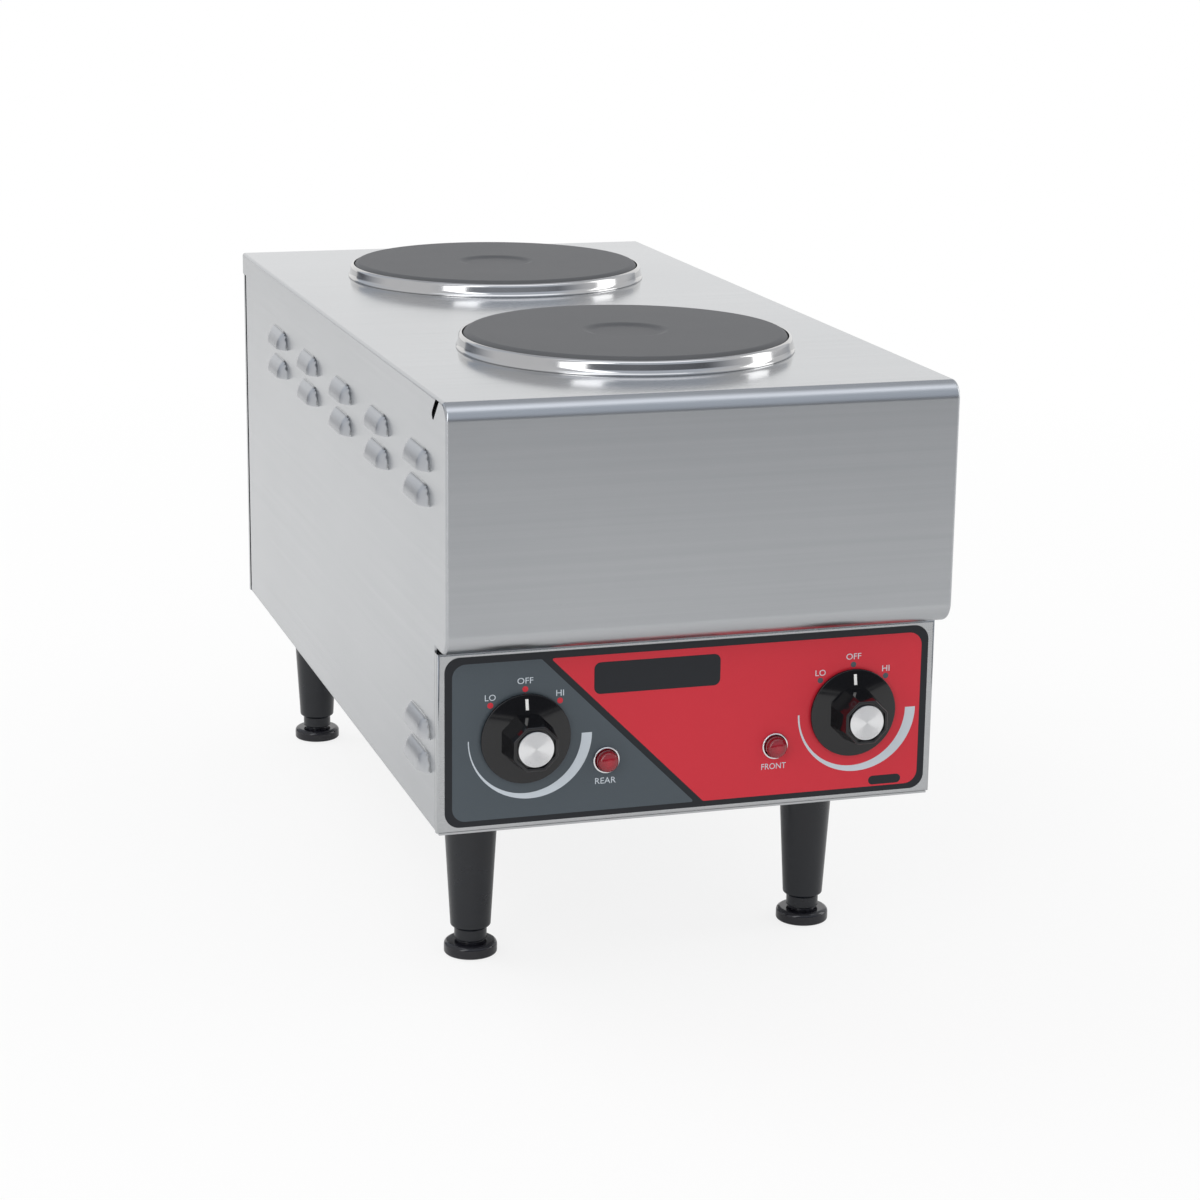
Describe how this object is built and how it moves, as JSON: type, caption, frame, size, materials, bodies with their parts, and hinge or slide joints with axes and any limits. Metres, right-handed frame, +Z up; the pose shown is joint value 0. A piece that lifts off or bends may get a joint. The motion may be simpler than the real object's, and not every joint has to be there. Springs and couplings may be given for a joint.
{
  "type": "hot plate burner",
  "caption": "Counter-top electric hot plate: louvred stainless hood with solid cast iron burners in line, recessed panel with knobs and pilot lamps, on adjustable legs.",
  "frame": {"origin": "on the floor under the middle of the whole object's outline, with the feet screwed home", "axes": "+Z up, -Y out of the control panel (front), +X to the right seen from the front"},
  "size_m": [0.3162, 0.6242, 0.3748],
  "materials": {
    "stainless": "satin brushed",
    "base_sheet": "plain mill",
    "overlay_print": "printed satin film in red, slate and black",
    "cast_plate": "dark matt heat-cured coating",
    "bright_trim": "bright polished",
    "zinc_steel": "zinc plated",
    "ceramic": "unglazed",
    "knob_black": "gloss moulded",
    "cap_aluminium": "spun",
    "switch_moulding": "phenolic moulding",
    "lens_red": "clear red moulding",
    "gland_black": "moulded nylon",
    "leg_black": "moulded, satin",
    "foot_black": "moulded, gloss"
  },
  "bodies": {
    "chassis": {"base_pan": "base_sheet", "base_screws": "zinc_steel", "control_panel": "stainless", "cord_inlet": "gland_black", "front_burner_cover": "zinc_steel", "front_burner_nut": "zinc_steel", "front_burner_plate": "cast_plate", "front_burner_ring": "bright_trim", "front_burner_stud": "zinc_steel", "front_burner_terminal": "ceramic", "front_clamp_bar": "zinc_steel", "front_left_leg": "leg_black", "front_pilot_bezel": "bright_trim", "front_pilot_body": "switch_moulding", "front_pilot_lens": "lens_red", "front_right_leg": "leg_black", "front_switch": "switch_moulding", "front_switch_nut": "zinc_steel", "hood_shell": "stainless", "inlet_nut": "gland_black", "leg_nuts": "zinc_steel", "leg_studs": "zinc_steel", "lip_screws": "zinc_steel", "panel_overlay": "overlay_print", "rear_burner_cover": "zinc_steel", "rear_burner_nut": "zinc_steel", "rear_burner_plate": "cast_plate", "rear_burner_ring": "bright_trim", "rear_burner_stud": "zinc_steel", "rear_burner_terminal": "ceramic", "rear_clamp_bar": "zinc_steel", "rear_left_leg": "leg_black", "rear_panel": "stainless", "rear_pilot_bezel": "bright_trim", "rear_pilot_body": "switch_moulding", "rear_pilot_lens": "lens_red", "rear_right_leg": "leg_black", "rear_switch": "switch_moulding", "rear_switch_nut": "zinc_steel", "terminal_block": "ceramic"},
    "front_control": {"front_knob": "knob_black", "front_knob_cap": "cap_aluminium", "front_switch_shaft": "zinc_steel"},
    "rear_control": {"rear_knob": "knob_black", "rear_knob_cap": "cap_aluminium", "rear_switch_shaft": "zinc_steel"},
    "front_left_levelling": {"front_left_foot": "foot_black"},
    "front_right_levelling": {"front_right_foot": "foot_black"},
    "rear_left_levelling": {"rear_left_foot": "foot_black"},
    "rear_right_levelling": {"rear_right_foot": "foot_black"}
  },
  "joints": [
    {"name": "rear_knob_turn", "type": "hinge", "parent": "chassis", "child": "rear_control", "pos_m": [-0.1006, -0.28755, 0.1643], "axis": [0, -1, 0], "continuous": true},
    {"name": "front_knob_turn", "type": "hinge", "parent": "chassis", "child": "front_control", "pos_m": [0.1006, -0.28755, 0.1643], "axis": [0, -1, 0], "continuous": true},
    {"name": "front_left_foot_screw", "type": "slide", "parent": "chassis", "child": "front_left_levelling", "axis": [0, 0, -1], "range_m": [0, 0.018]},
    {"name": "front_right_foot_screw", "type": "slide", "parent": "chassis", "child": "front_right_levelling", "axis": [0, 0, -1], "range_m": [0, 0.018]},
    {"name": "rear_left_foot_screw", "type": "slide", "parent": "chassis", "child": "rear_left_levelling", "axis": [0, 0, -1], "range_m": [0, 0.018]},
    {"name": "rear_right_foot_screw", "type": "slide", "parent": "chassis", "child": "rear_right_levelling", "axis": [0, 0, -1], "range_m": [0, 0.018]}
  ]
}
